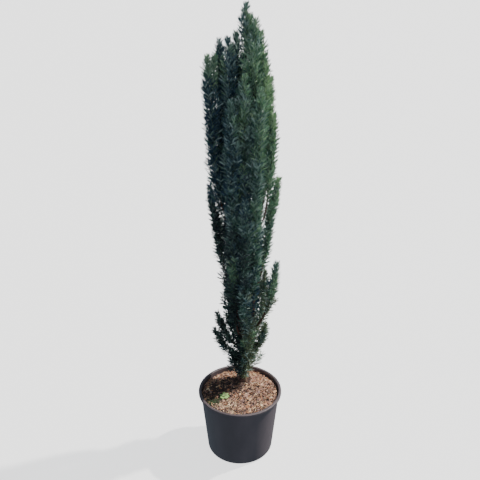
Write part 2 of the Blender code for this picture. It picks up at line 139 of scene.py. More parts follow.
# Trunk and boughs
TRUNK_TOP = 0.975
TRUNK_RADIUS = 0.0105
TRUNK_TOP_RADIUS = 0.0028
TRUNK_TAPER = 0.8
FLARE_RADIUS = 0.0175
FLARE_HEIGHT = 0.022
FLARE_LOBES = 5
FLARE_LOBE_DEPTH = 0.16
TRUNK_BOW = 0.008
TRUNK_SWAY = 0.004
TRUNK_LEAN = 0.005
BOUGH_RADIUS = 0.0050
BOUGH_TIP_RADIUS = 0.0026
BOUGH_SHARE = 0.62
BRANCH_SLOPE = 0.72
EARLY_REACH = 0.75
BOUGH_SWAY = 0.0030
SECOND_STEM_RADIUS = 0.0068
SECOND_STEM_LEAVES = 0.047
SECOND_STEM_EARLY_REACH = 0.42
BARK_STEP = 0.0030
BARK_RELIEF = 0.00075
TRUNK_SIDES = 30
BOUGH_SIDES = 14
COLLAR_SWELL = 0.45
COLLAR_HEIGHT = 0.010

# Leafy stems, shoots and needles
CORE_RADIUS = 0.0130
STEM_STEP = 0.008
STEM_SIDES = 5
SPRAY_STEPS = 7
STEM_TIP_RADIUS = 0.0008
SHOOT_REACH = 0.018
SPARSE_SHOOT_REACH = 0.009
LIMB_REACH = 0.022
LEFT_REACH_CUT = 0.45
RIGHT_REACH_CUT = 0.70
TURN_UP = 3.0
SHOOT_STEP = 0.0108
BUSHY_SHOOT_STEP = 0.0060
BUSHY_SHOOT_LENGTH = 0.065
HIDDEN_REACH_SHARE = 0.5
BUSHY_TOP = FOOT_Z + 0.22
BUSHY_SLACK = 0.020
SLACK = 0.004
INNER_TOP = FOOT_Z + 0.80
SHOOT_LENGTH = 0.105
SHOOT_SPANS = 6
SHOOT_SIDES = 3
SHOOT_RADIUS = 0.0011
SHOOT_TIP_RADIUS = 0.0005
SHORTEST_SHOOT = 0.020
LEADER_LENGTH = 0.045
LEADER_SHARE = 0.35
SPIRE = 0.55
SPIRE_SLOPE = 0.17
BARE_BOUGH = 0.6
SIDE_TWIG_SHARE = 0.30
SIDE_TWIG_LENGTH = 0.042
SIDE_TWIG_REACH = 0.30
LONG_SHOOT = 0.060
TRIES = 4
GOLDEN_ANGLE = math.radians(137.5)
TIP_SHORTENING = 0.12
LEAN_SPREAD = 0.09
NEEDLE_RINGS = ((0.0, 0.75), (0.72, 1.0))
NEEDLE_THICKNESS = 0.0008
NEEDLE_CURVE = 0.10
NEEDLE_ROLL = math.radians(75)
NEEDLE_LEAN = math.radians(51)
TIP_NEEDLE_LEAN = math.radians(38)
TIP_ZONE = 0.020
CROWN_RADIUS = 0.095
SEED = 11

# Colours of the needles, each with a lighter underside, from the deepest to the brightest. Most are steps of painted
# light: deep and dark, bluish, are painted shade, dim is painted shade low in the crown, middle, fresh and bright
# are painted sunlight, and pale is a painted sky reflection; olive is the old needles' own colour
NEEDLE_TONES = {
    "deep": ((0.026, 0.062, 0.098), (0.085, 0.145, 0.190)),
    "dark": ((0.040, 0.088, 0.105), (0.140, 0.215, 0.220)),
    "middle": ((0.075, 0.160, 0.118), (0.270, 0.380, 0.295)),
    "fresh": ((0.150, 0.285, 0.170), (0.400, 0.520, 0.360)),
    "bright": ((0.260, 0.410, 0.215), (0.540, 0.660, 0.430)),
    "dim": ((0.036, 0.052, 0.052), (0.120, 0.155, 0.140)),
    "olive": ((0.150, 0.180, 0.095), (0.360, 0.400, 0.260)),
    "pale": ((0.460, 0.560, 0.500), (0.560, 0.650, 0.580)),
}
TONE_NAMES = list(NEEDLE_TONES)
# A share of each spray's needles takes a lighter tone as painted highlight, a painted reflection of the sky on
# glossy needles, and the lighter tone that each tone takes
PAINTED_SHINE_SHARE = 0.22
PAINTED_SHINE_TONES = {"deep": "middle", "dark": "pale", "middle": "pale", "fresh": "bright", "dim": "middle", "olive": "pale"}
NEEDLE_ROUGHNESS = (0.32, 0.50)
# How far a spray's tone is lifted as painted light: towards the right, outwards and up the crown, where the key
# light falls
TONE_MIDDLE = 1.05
PAINTED_LIGHT_ACROSS = 1.6
PAINTED_LIGHT_OUTWARD = 0.5
PAINTED_LIGHT_UP = 1.1
TONE_SPREAD = 0.60
BRIGHTEST = TONE_NAMES.index("bright")
# Low in the crown, sprays whose light level is below DIM_LIGHT take the dim tone: painted shade
DIM_TOP = 0.60
DIM_LIGHT = 1.0
OLIVE_TOP = 0.38
OLIVE_SHARE = 0.6
TUFT_SIZE = 0.030
FRESH_TUFTS = ((-0.038, -0.060, 0.440), (0.010, -0.046, 0.190), (-0.074, -0.010, 0.990))

AXIS_X = np.array((1.0, 0.0, 0.0))
UP = np.array((0.0, 0.0, 1.0))


@dataclass(frozen=True)
class Mass:
    """One mass of needles: its tip right of, behind and above the trunk's foot, and how its bough runs."""

    parent: str
    right: float
    behind: float
    top: float
    leaves: float | None
    starts: float | None
    core: float = CORE_RADIUS
    early: float = EARLY_REACH


MASSES = {
    "top": Mass("trunk", 0.005, 0.000, 1.128, None, TRUNK_TOP, core=0.0080),
    "right_outer": Mass("second_stem", 0.055, -0.006, 1.009, None, 0.560),
    "right_inner": Mass("trunk", 0.029, -0.022, 1.093, 0.660, 0.740, core=0.0095),
    "right_middle": Mass("trunk", 0.044, 0.028, 1.060, 0.560, 0.640),
    "right_side": Mass("second_stem", 0.071, 0.030, 0.946, 0.545, 0.660),
    "right_bulge": Mass("second_stem", 0.078, -0.028, 0.860, 0.520, 0.640),
    "left_inner": Mass("trunk", -0.020, 0.030, 1.060, 0.480, 0.560, core=0.0110),
    "left_middle": Mass("trunk", -0.040, -0.024, 1.048, 0.560, 0.640),
    "left_second": Mass("trunk", -0.064, 0.022, 1.040, 0.530, 0.620),
    "left_outer": Mass("trunk", -0.094, -0.012, 1.005, 0.475, 0.610, early=0.85),
    "front_left": Mass("trunk", -0.034, -0.068, 0.900, 0.190, 0.280),
    "front_right": Mass("trunk", 0.042, -0.068, 0.930, 0.240, 0.330),
    "front_middle": Mass("trunk", 0.002, -0.052, 0.960, 0.400, 0.480),
    "back_middle": Mass("trunk", 0.000, 0.080, 1.000, 0.270, 0.370),
    "back_right": Mass("trunk", 0.054, 0.068, 0.930, 0.150, 0.260),
    "back_left": Mass("trunk", -0.056, 0.064, 0.960, 0.210, 0.310),
    "right_arm": Mass("second_stem", 0.097, -0.006, 0.676, 0.330, 0.430, core=0.0090, early=0.20),
    "left_arm": Mass("trunk", -0.096, 0.020, 0.644, 0.260, 0.360, core=0.0080, early=0.40),
    "middle_front": Mass("trunk", 0.004, -0.078, 0.640, 0.130, 0.230),
    "middle_left": Mass("trunk", -0.034, -0.034, 0.560, 0.150, 0.220),
    "right_twig": Mass("second_stem", 0.098, -0.022, 0.424, 0.180, 0.290, core=0.0060, early=0.60),
    "low_right": Mass("second_stem", 0.066, 0.034, 0.370, 0.120, 0.180),
    "low_left": Mass("trunk", -0.044, 0.036, 0.380, 0.085, 0.135),
    "low_back": Mass("trunk", 0.004, 0.056, 0.300, 0.060, 0.100),
    "low_front": Mass("trunk", 0.014, -0.050, 0.280, 0.045, None, core=0.0095),
    "low_twig_right": Mass("second_stem", 0.068, -0.024, 0.220, 0.105, None, core=0.0050),
    "low_twig_left": Mass("trunk", -0.080, 0.004, 0.242, 0.106, None, core=0.0050),
    "low_side_left": Mass("trunk", -0.087, -0.018, 0.196, 0.074, None, core=0.0050),
    "foot_left": Mass("trunk", -0.030, -0.014, 0.120, 0.016, None, core=0.0080),
    "foot_right": Mass("trunk", 0.032, 0.012, 0.125, 0.020, None, core=0.0080),
    "foot_front": Mass("trunk", 0.002, -0.034, 0.090, 0.010, None, core=0.0080),
}

# Masses that stand out of the column, with the sky between, and how much of each one's bough is bare
SPARSE = {
    "right_arm": 0.4,
    "left_arm": 1.0,
    "right_twig": 0.2,
    "low_twig_right": 1.0,
    "low_twig_left": 1.0,
    "low_side_left": 1.0,
}

# Second tips that leave a mass's leafy stem near its top and stay in the mass
SIDE_TIPS = (
    Mass("top", 0.016, -0.004, 1.104, 1.010, None),
    Mass("left_outer", -0.076, -0.012, 1.008, 0.900, None),
)

# Masses whose needles are joined into one piece
GROUPS = {
    "crown_left": ("left_inner", "left_middle", "left_second", "left_outer"),
    "crown_right": ("right_outer", "right_inner", "right_middle", "right_side", "right_bulge"),
    "crown_front": ("top", "front_left", "front_right", "front_middle"),
    "crown_back": ("back_middle", "back_right", "back_left"),
    "arms": ("right_arm", "left_arm", "middle_front", "middle_left", "right_twig"),
    "foot": (
        "low_right",
        "low_left",
        "low_back",
        "low_front",
        "low_twig_right",
        "low_twig_left",
        "low_side_left",
        "foot_left",
        "foot_right",
        "foot_front",
    ),
}


def unit(vectors):
    return vectors / np.linalg.norm(vectors, axis=-1, keepdims=True)


def across_frames(ways):
    """Two directions across each way. The first lies as near to +X as can be."""
    across = unit(AXIS_X - ways * (ways @ AXIS_X)[..., None])
    return across, np.cross(ways, across)


# The rule that the limbs and the leafy stems follow


@dataclass(frozen=True)
class Limb:
    """A limb between two heights, with its centre line and its radius given by height."""

    low: float
    high: float
    axis: Callable[[float], np.ndarray]
    radius: Callable[[float], float]


def above_foot(right, behind, height):
    return np.array((FOOT_X + right, FOOT_Y + behind, FOOT_Z + height))


def trunk_axis(height):
    share = height / TRUNK_TOP
    right = TRUNK_LEAN * share - TRUNK_BOW * math.sin(math.pi * min(share, 1.0))
    return above_foot(right, TRUNK_SWAY * math.sin(2 * math.pi * share), height)


def trunk_radius(height):
    share = height / TRUNK_TOP
    taper = TRUNK_RADIUS + (TRUNK_TOP_RADIUS - TRUNK_RADIUS) * share**TRUNK_TAPER
    return taper + (FLARE_RADIUS - TRUNK_RADIUS) * math.exp(-height / FLARE_HEIGHT)


def rising_axis(name, parent_axis, mass, leaves, early):
    """A line that leaves its parent at the branching slope, turns up and ends at the mass's tip."""
    start = parent_axis(leaves)
    out = above_foot(mass.right, mass.behind, mass.top) - start
    out[2] = 0.0
    reach = np.linalg.norm(out)
    out = out / reach
    across = np.array((-out[1], out[0], 0.0))
    turn_up = early * reach / BRANCH_SLOPE
    gained = reach * early / (1 - math.exp(-(mass.top - leaves) / turn_up))
    phase = random.Random(name).uniform(0, 2 * math.pi)

    def axis(height):
        share = (height - leaves) / (mass.top - leaves)
        lateral = gained * (1 - math.exp(-(height - leaves) / turn_up))
        lateral += reach * (1 - early) * share
        sway = BOUGH_SWAY * math.sin(3 * math.pi * share + phase) * math.sin(math.pi * min(share, 1.0))
        point = start + out * lateral + across * sway
        point[2] = FOOT_Z + height
        return point

    return axis


def tapering(low, high, foot_radius):
    def radius(height):
        return foot_radius + (BOUGH_TIP_RADIUS - foot_radius) * (height - low) / (high - low)

    return radius


def plan_limbs():
    """The trunk, the second stem and a bough for each mass that has one."""
    limbs = {"trunk": Limb(0.0, TRUNK_TOP, trunk_axis, trunk_radius)}
    carried = MASSES["right_outer"]
    axis = rising_axis("second_stem", trunk_axis, carried, SECOND_STEM_LEAVES, SECOND_STEM_EARLY_REACH)
    radius = tapering(SECOND_STEM_LEAVES, carried.starts, SECOND_STEM_RADIUS)
    limbs["second_stem"] = Limb(SECOND_STEM_LEAVES, carried.starts, axis, radius)
    for name, mass in MASSES.items():
        if mass.leaves is None or mass.starts is None:
            continue
        parent = limbs[mass.parent]
        axis = rising_axis(name, parent.axis, mass, mass.leaves, mass.early)
        foot_radius = min(BOUGH_RADIUS, BOUGH_SHARE * parent.radius(mass.leaves))
        radius = tapering(mass.leaves, mass.starts, foot_radius)
        limbs["bough_" + name] = Limb(mass.leaves, mass.starts, axis, radius)
    return limbs


def plan_stems(limbs):
    """The centre line of each mass's leafy stem."""
    stems = {}
    for name, mass in MASSES.items():
        bough = limbs.get("bough_" + name, limbs[mass.parent])
        axis = bough.axis
        low = mass.starts
        if mass.starts is None:
            axis = rising_axis(name, axis, mass, mass.leaves, mass.early)
            low = mass.leaves
        count = round((mass.top - low) / STEM_STEP)
        stems[name] = np.array([axis(height) for height in np.linspace(low, mass.top, count + 1)])
    return stems


# Many small closed shapes in one mesh


class Batch:
    """Small closed shapes gathered into one mesh, with a number for each triangle's finish."""

    def __init__(self):
        self.points = []
        self.triangles = []
        self.finishes = []
        self.count = 0

    def add(self, points, triangles, finishes):
        """Shapes that share one pattern of triangles: (shapes, points, 3), (triangles, 3) and their finishes."""
        shapes, size, _ = points.shape
        first = self.count + np.arange(shapes)[:, None, None] * size
        self.points.append(points.reshape(-1, 3))
        self.triangles.append((triangles[None] + first).reshape(-1, 3))
        self.finishes.append(np.broadcast_to(finishes, (shapes, len(triangles))).reshape(-1))
        self.count += shapes * size

    def mesh(self, name, smooth):
        points = np.concatenate(self.points)
        triangles = np.concatenate(self.triangles)
        finishes = np.concatenate(self.finishes)
        made = bpy.data.meshes.new(name)
        made.vertices.add(len(points))
        made.vertices.foreach_set("co", points.astype(np.float32).ravel())
        made.loops.add(triangles.size)
        made.loops.foreach_set("vertex_index", triangles.astype(np.int32).ravel())
        made.polygons.add(len(triangles))
        made.polygons.foreach_set("loop_start", np.arange(0, triangles.size, 3, dtype=np.int32))
        made.polygons.foreach_set("material_index", finishes.astype(np.int32))
        made.polygons.foreach_set("use_smooth", np.full(len(triangles), smooth))
        made.update(calc_edges=True)
        return made


def tube_triangles(rings, sides):
    """The triangles of a closed tube whose points are its rings, from the foot up, and then its tip."""
    made = [(0, i + 1, i) for i in range(1, sides - 1)]
    for k in range(rings - 1):
        for i in range(sides):
            a = k * sides + i
            b = k * sides + (i + 1) % sides
            made.append((a, b, b + sides))
            made.append((a, b + sides, a + sides))
    top = (rings - 1) * sides
    made += [(top + i, top + (i + 1) % sides, rings * sides) for i in range(sides)]
    return np.array(made)


def tubes(lines, radii, sides):
    """Rings round lines, (lines, points, 3), whose last points are their tips. Radii go with the rings."""
    ways = unit(np.diff(lines, axis=1))
    across, other = across_frames(ways)
    turns = 2 * math.pi * np.arange(sides) / sides
    spokes = across[:, :, None] * np.cos(turns)[:, None] + other[:, :, None] * np.sin(turns)[:, None]
    rings = lines[:, :-1, None] + spokes * np.asarray(radii)[..., None, None]
    return np.concatenate((rings.reshape(len(lines), -1, 3), lines[:, -1:]), axis=1)


def show(name, mesh, materials, nodes=()):
    """Puts a piece into the scene, on the plant's one body, in place of the solids that it stands for."""
    for material in materials:
        mesh.materials.append(material)
    made = bpy.data.objects.new(name, mesh)
    bpy.context.scene.collection.objects.link(made)
    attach(made, "root")
    if nodes:
        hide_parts(*nodes)
    return made


# Finishes


def plain(name, colour, roughness):
    made = bpy.data.materials.new(name)
    made.use_nodes = True
    shader = made.node_tree.nodes["Principled BSDF"]
    shader.inputs["Base Color"].default_value = (*colour, 1.0)
    shader.inputs["Roughness"].default_value = roughness
    return made


def grained(name, colours, roughness, scale, stretch, bump, grain):
    """A finish whose colour, from dark to pale, and roughness follow one noise, with a finer grain in relief."""
    made = plain(name, colours[0], roughness[0])
    nodes = made.node_tree.nodes
    links = made.node_tree.links
    shader = nodes["Principled BSDF"]
    place = nodes.new("ShaderNodeTexCoord")
    mapping = nodes.new("ShaderNodeMapping")
    mapping.inputs["Scale"].default_value = stretch
    links.new(place.outputs["Object"], mapping.inputs["Vector"])
    patches = nodes.new("ShaderNodeTexNoise")
    patches.inputs["Scale"].default_value = scale
    patches.inputs["Detail"].default_value = 6.0
    links.new(mapping.outputs["Vector"], patches.inputs["Vector"])
    ramp = nodes.new("ShaderNodeValToRGB")
    links.new(patches.outputs["Fac"], ramp.inputs["Fac"])
    ends = ramp.color_ramp.elements
    while len(ends) < len(colours):
        ends.new(0.5)
    for k, colour in enumerate(colours):
        ends[k].position = 0.3 + 0.4 * k / (len(colours) - 1)
        ends[k].color = (*colour, 1.0)
    links.new(ramp.outputs["Color"], shader.inputs["Base Color"])
    span = nodes.new("ShaderNodeMapRange")
    span.inputs["To Min"].default_value = roughness[0]
    span.inputs["To Max"].default_value = roughness[1]
    links.new(patches.outputs["Fac"], span.inputs["Value"])
    links.new(span.outputs["Result"], shader.inputs["Roughness"])
    fine = nodes.new("ShaderNodeTexNoise")
    fine.inputs["Scale"].default_value = grain
    fine.inputs["Detail"].default_value = 4.0
    links.new(mapping.outputs["Vector"], fine.inputs["Vector"])
    relief = nodes.new("ShaderNodeBump")
    relief.inputs["Strength"].default_value = bump
    relief.inputs["Distance"].default_value = 0.0005
    links.new(fine.outputs["Fac"], relief.inputs["Height"])
    links.new(relief.outputs["Normal"], shader.inputs["Normal"])
    return made


# Pot


def arc(centre_radius, centre_z, radius, start, end):
    """Points of a round edge in the pot's profile, from one angle to another in degrees."""
    turns = np.radians(np.linspace(start, end, ARC_STEPS))
    return [(centre_radius + radius * math.cos(a), centre_z + radius * math.sin(a)) for a in turns]


def outer_radius(z):
    """The pot's wall tapers straight from under the rim to the base."""
    under_rim = RIM_RADIUS - RIM_OVERHANG
    return BASE_RADIUS + (under_rim - BASE_RADIUS) * z / POT_HEIGHT


def inner_radius(z):
    return outer_radius(z) - WALL


def pot_profile():
    """From the middle of the underside out over the foot ring, up the wall, round the rim and down inside."""
    band_foot = POT_HEIGHT - RIM_BAND
    foot = outer_radius(BASE_ROUND) - BASE_ROUND
    wall = [(outer_radius(z), z) for z in np.linspace(BASE_ROUND, band_foot, 12)]
    lip = inner_radius(POT_HEIGHT) + RIM_ROLL
    return [
        (foot - FOOT_RING - FOOT_RECESS, FOOT_RECESS),
        (foot - FOOT_RING, 0.0),
        (foot, 0.0),
        *arc(foot, BASE_ROUND, BASE_ROUND, -75, -15),
        *wall,
        *arc(RIM_RADIUS - RIM_ROLL, band_foot + RIM_ROLL, RIM_ROLL, -90, 0),
        *arc(RIM_RADIUS - RIM_ROLL, POT_HEIGHT - RIM_ROLL, RIM_ROLL, 0, 90),
        *arc(lip, POT_HEIGHT - RIM_ROLL, RIM_ROLL, 90, 180),
        (inner_radius(POT_HEIGHT - RIM_BAND), POT_HEIGHT - RIM_BAND),
        (inner_radius(BASE_THICKNESS), BASE_THICKNESS),
    ]


def circle(radius, z, sides, centre=(0.0, 0.0)):
    turns = 2 * math.pi * np.arange(sides) / sides
    return np.stack(
        (centre[0] + radius * np.cos(turns), centre[1] + radius * np.sin(turns), np.full(sides, z)), axis=1
    )


def lathe(profile, sides):
    """A closed turned shape. Its two ends close to points on the axis."""
    rings = [circle(radius, z, sides) for radius, z in profile]
    points = np.concatenate((*rings, [(0.0, 0.0, profile[0][1]), (0.0, 0.0, profile[-1][1])]))
    body = tube_triangles(len(profile), sides)[sides - 2 : -sides]
    foot = len(points) - 2
    last = (len(profile) - 1) * sides
    ends = [(foot, (i + 1) % sides, i) for i in range(sides)]
    ends += [(last + i, last + (i + 1) % sides, foot + 1) for i in range(sides)]
    return points, np.concatenate((body, np.array(ends)))


def make_pot():
    batch = Batch()
    points, triangles = lathe(pot_profile(), POT_SIDES)
    batch.add(points[None], triangles, 0)
    colours = ((0.072, 0.056, 0.061), (0.095, 0.074, 0.080), (0.133, 0.103, 0.108))
    plastic = grained("pot_plastic", colours, (0.38, 0.52), 9.0, (1.0, 1.0, 0.45), 0.18, 900.0)
    pot = show("pot_shell", batch.mesh("pot_shell", True), [plastic], ["pot"])
    holes = Batch()
    for i in range(DRAIN_HOLES):
        a = 2 * math.pi * i / DRAIN_HOLES
        centre = (DRAIN_CIRCLE_RADIUS * math.cos(a), DRAIN_CIRCLE_RADIUS * math.sin(a))
        ends = [circle(DRAIN_HOLE_RADIUS, z, DRAIN_HOLE_SIDES, centre) for z in (-BASE_ROUND, BASE_ROUND)]
        points = np.concatenate((*ends, [(*centre, 2 * BASE_ROUND)]))
        holes.add(points[None], tube_triangles(2, DRAIN_HOLE_SIDES), 0)
    tool = bpy.data.objects.new("drain_holes", holes.mesh("drain_holes", False))
    bpy.context.scene.collection.objects.link(tool)
    cut = pot.modifiers.new("drain_holes", "BOOLEAN")
    cut.operation = "DIFFERENCE"
    cut.object = tool
    graph = bpy.context.evaluated_depsgraph_get()
    pot.data = bpy.data.meshes.new_from_object(pot.evaluated_get(graph))
    pot.modifiers.clear()
    bpy.data.objects.remove(tool)
    pot.data.shade_smooth()
    pot.data.set_sharp_from_angle(angle=math.radians(40))


# Potting mix


def mix_surface(turn, share):
    """A point of the mix's top, from the patch round the trunk at share 0 to the pot's wall at share 1."""
    patch = Vector((math.cos(turn), math.sin(turn), 0.0)) * FOOT_PATCH_RADIUS
    patch += Vector((FOOT_X, FOOT_Y, FOOT_Z - CLEAR))
    z = POT_HEIGHT - SOIL_EDGE_DEPTH - SOIL_EDGE_SLOPE * math.sin(turn)
    radius = inner_radius(z) - CLEAR
    edge = Vector((radius * math.cos(turn), radius * math.sin(turn), z))
    point = patch.lerp(edge, share)
    lumps = sum(size * math.sin(round_it * turn + down * share) for size, round_it, down in SOIL_LUMPS)
    slope = 0.5 - 0.5 * math.cos(math.pi * share)
    point.z = patch.z + (edge.z - patch.z) * slope + lumps * 2 * share * (1 - share)
    return point


def random_on_mix(draw, count):
    """Places dealt evenly over the mix's top."""
    inner, outer = FOOT_PATCH_RADIUS, inner_radius(POT_HEIGHT)
    turns = draw.uniform(0, 2 * math.pi, count)
    shares = (np.sqrt(draw.uniform((inner / outer) ** 2, 1.0, count)) - inner / outer) / (1 - inner / outer)
    return np.array([mix_surface(turn, share) for turn, share in zip(turns, shares)])


def nearest_on_mix(places, spot):
    gaps = np.hypot(places[:, 0] - spot[0], places[:, 1] - spot[1])
    return places[gaps.argmin()]


def deal_tones(draw, places):
    """A tone's number for each bit of mix: by share, and more of one tone in the patches: dark bits as painted
    shadow of the crown, and mossy and strawy bits.
    """
    names = list(MIX_TONES)
    kinds = draw.choice(len(names), len(places), p=[share for _, share in MIX_TONES.values()])
    for x, y, radius, tone, share in MIX_PATCHES:
        inside = np.hypot(places[:, 0] - x, places[:, 1] - y) < radius * draw.uniform(0.7, 1.15, len(places))
        kinds[inside & (draw.random(len(places)) < share)] = names.index(tone)
    return kinds[:, None]


def ring_shape(places, ways, sides, outline, lift, thickness):
    """Flat irregular flakes: an outline round each place, along its way, and the same again underneath."""
    across = unit(np.cross(ways, UP))
    over = np.cross(across, ways)
    turns = 2 * math.pi * np.arange(sides) / sides
    reach = outline[:, 0:1] * np.cos(turns) * (1 + lift)
    width = outline[:, 1:2] * np.sin(turns) * (1 + lift[:, ::-1])
    flat = places[:, None] + ways[:, None] * reach[..., None] + across[:, None] * width[..., None]
    down = over[:, None] * thickness[:, None, None]
    tips = np.concatenate((flat - down, flat), axis=1)
    return np.concatenate((tips, flat.mean(axis=1, keepdims=True) + down * 0.2), axis=1)


def add_bits(batch, shapes, triangles, tones):
    """Adds those bits of mix that lie wholly inside the pot's wall."""
    inside = np.hypot(shapes[..., 0], shapes[..., 1]).max(axis=1) < inner_radius(POT_HEIGHT - 2 * SOIL_EDGE_DEPTH)
    batch.add(shapes[inside], triangles, tones[inside])


def make_fibres(batch, draw):
    """Curled strands of bark that lie about on the mix."""
    places = random_on_mix(draw, FIBRES)
    heading = draw.uniform(0, 2 * math.pi, FIBRES)
    rise = draw.uniform(-0.15, 0.38, FIBRES)
    length = draw.gamma(4.0, 0.0030, FIBRES)
    curl = draw.normal(0, 1.6, FIBRES)
    width = draw.uniform(0.0004, 0.0012, FIBRES)
    spans = 4
    line = [places - 0.0002 * UP]
    for k in range(spans):
        turn = heading + curl * (k + 0.5) / spans
        lift = rise * (1 - 1.5 * k / spans)
        way = np.stack((np.cos(turn) * np.cos(lift), np.sin(turn) * np.cos(lift), np.sin(lift)), axis=1)
        line.append(line[-1] + way * (length / spans)[:, None])
    lines = np.stack(line, axis=1)
    radii = width[:, None] * np.array((0.8, 1.0, 1.0, 0.8))
    add_bits(batch, tubes(lines, radii, 3), tube_triangles(spans, 3), deal_tones(draw, places))


def make_flakes(batch, draw):
    """Flat chips of bark, tilted this way and that."""
    places = random_on_mix(draw, FLAKES) + 0.0008 * UP
    heading = draw.uniform(0, 2 * math.pi, FLAKES)
    tilt = draw.normal(0, 0.32, FLAKES)
    ways = np.stack((np.cos(heading) * np.cos(tilt), np.sin(heading) * np.cos(tilt), np.sin(tilt)), axis=1)
    outline = np.stack((draw.gamma(6.0, 0.0009, FLAKES), draw.gamma(6.0, 0.00045, FLAKES)), axis=1)
    lift = draw.uniform(-0.3, 0.25, (FLAKES, 6))
    thickness = draw.uniform(0.0006, 0.0016, FLAKES)
    shapes = ring_shape(places, ways, 6, outline, lift, thickness)
    add_bits(batch, shapes, tube_triangles(2, 6), deal_tones(draw, places))


def make_crumbs(batch, draw):
    places = random_on_mix(draw, CRUMBS) + 0.0003 * UP
    ways = unit(draw.normal(0, 1, (CRUMBS, 3)) * (1, 1, 0.4))
    outline = draw.uniform(0.0007, 0.0022, (CRUMBS, 2))
    lift = draw.uniform(-0.3, 0.3, (CRUMBS, 4))
    thickness = draw.uniform(0.0008, 0.0018, CRUMBS)
    shapes = ring_shape(places, ways, 4, outline, lift, thickness)
    add_bits(batch, shapes, tube_triangles(2, 4), deal_tones(draw, places))


def make_bed():
    """The dark mix under the loose bits, filled down to the pot's floor."""
    floor = BASE_THICKNESS + CLEAR
    turns = 2 * math.pi * np.arange(SOIL_SIDES) / SOIL_SIDES
    rings = [circle(inner_radius(floor) - CLEAR, floor, SOIL_SIDES)]
    for k in range(SOIL_RINGS, -1, -1):
        ring = []
        for turn in turns:
            point = mix_surface(turn, k / SOIL_RINGS)
            if 0 < k < SOIL_RINGS:
                point.z += SOIL_GRAIN * noise.noise(point * 330)
            ring.append(point)
        rings.append(np.array(ring))
    middle = [(FOOT_X, FOOT_Y, FOOT_Z - CLEAR)]
    batch = Batch()
    points = np.concatenate((*rings, middle))
    batch.add(points[None], tube_triangles(len(rings), SOIL_SIDES), 0)
    colours = ((0.020, 0.012, 0.010), (0.055, 0.030, 0.022), (0.110, 0.062, 0.045))
    finish = grained("mix_bed", colours, (0.85, 0.98), 160.0, (1.0, 1.0, 1.0), 0.6, 700.0)
    show("mix_bed", batch.mesh("mix_bed", True), [finish], ["potting_mix"])


MIX_TONES = {
    "mix_pink": ((0.420, 0.235, 0.170), 0.24),
    "mix_tan": ((0.540, 0.320, 0.180), 0.20),
    "mix_rust": ((0.330, 0.145, 0.075), 0.19),
    "mix_mauve": ((0.230, 0.140, 0.125), 0.14),
    # Dark bits of mix, dealt at random and, as painted shadow, more thickly in two patches
    "mix_dark_and_painted_shadow": ((0.050, 0.027, 0.022), 0.16),
    "mix_straw": ((0.780, 0.570, 0.370), 0.07),
    "mix_moss": ((0.030, 0.055, 0.018), 0.00),
}


def make_weed(draw, surface):
    """A small weed: a ring of broad leaves that lies nearly flat, and a few younger ones that stand up in it."""
    middle = nearest_on_mix(surface, WEED_PLACE) + WEED_HEIGHT * UP
    batch = Batch()
    for finish, (count, half_length, half_width, rise) in enumerate(WEED_LEAVES):
        heading = 2 * math.pi * (np.arange(count) + draw.uniform(-0.2, 0.2, count)) / count
        ways = np.stack((np.cos(heading) * math.cos(rise), np.sin(heading) * math.cos(rise)), axis=1)
        ways = np.column_stack((ways, np.full(count, math.sin(rise))))
        outline = np.array((half_length, half_width)) * draw.uniform(0.85, 1.15, (count, 1))
        lift = draw.uniform(-0.1, 0.1, (count, 8))
        places = middle + ways * half_length
        leaves = ring_shape(places, ways, 8, outline, lift, np.full(count, 0.0005))
        batch.add(leaves, tube_triangles(2, 8), finish)
    finishes = [plain("weed_leaf", (0.330, 0.500, 0.170), 0.5), plain("weed_bud", (0.480, 0.620, 0.260), 0.5)]
    show("weed", batch.mesh("weed", False), finishes)


def make_chip(draw, surface):
    """The one big pale chip of bark behind the trunk's foot."""
    place = nearest_on_mix(surface, CHIP_PLACE) + CHIP_THICKNESS * UP
    ways = unit(np.array([(0.9, -0.4, 0.15)]))
    lift = draw.uniform(-0.2, 0.2, (1, 7))
    chip = ring_shape(place[None], ways, 7, np.array([CHIP_HALVES]), lift, np.array([CHIP_THICKNESS]))
    batch = Batch()
    batch.add(chip, tube_triangles(2, 7), 0)
    colours = ((0.480, 0.330, 0.170), (0.640, 0.460, 0.260))
    finish = grained("bark_chip", colours, (0.75, 0.9), 300.0, (1.0, 0.3, 1.0), 0.5, 900.0)
    show("bark_chip", batch.mesh("bark_chip", False), [finish])


def make_mix():
    make_bed()
    draw = np.random.default_rng([SEED, 1])
    batch = Batch()
    make_fibres(batch, draw)
    make_flakes(batch, draw)
    make_crumbs(batch, draw)
    finishes = [plain(name, colour, 0.9) for name, (colour, _) in MIX_TONES.items()]
    show("mix_bits", batch.mesh("mix_bits", False), finishes)
    surface = random_on_mix(draw, 4000)
    make_weed(draw, surface)
    make_chip(draw, surface)


# Wood


def bark_line(limb):
    count = round((limb.high - limb.low) / BARK_STEP)
    return np.linspace(limb.low, limb.high, count + 1)


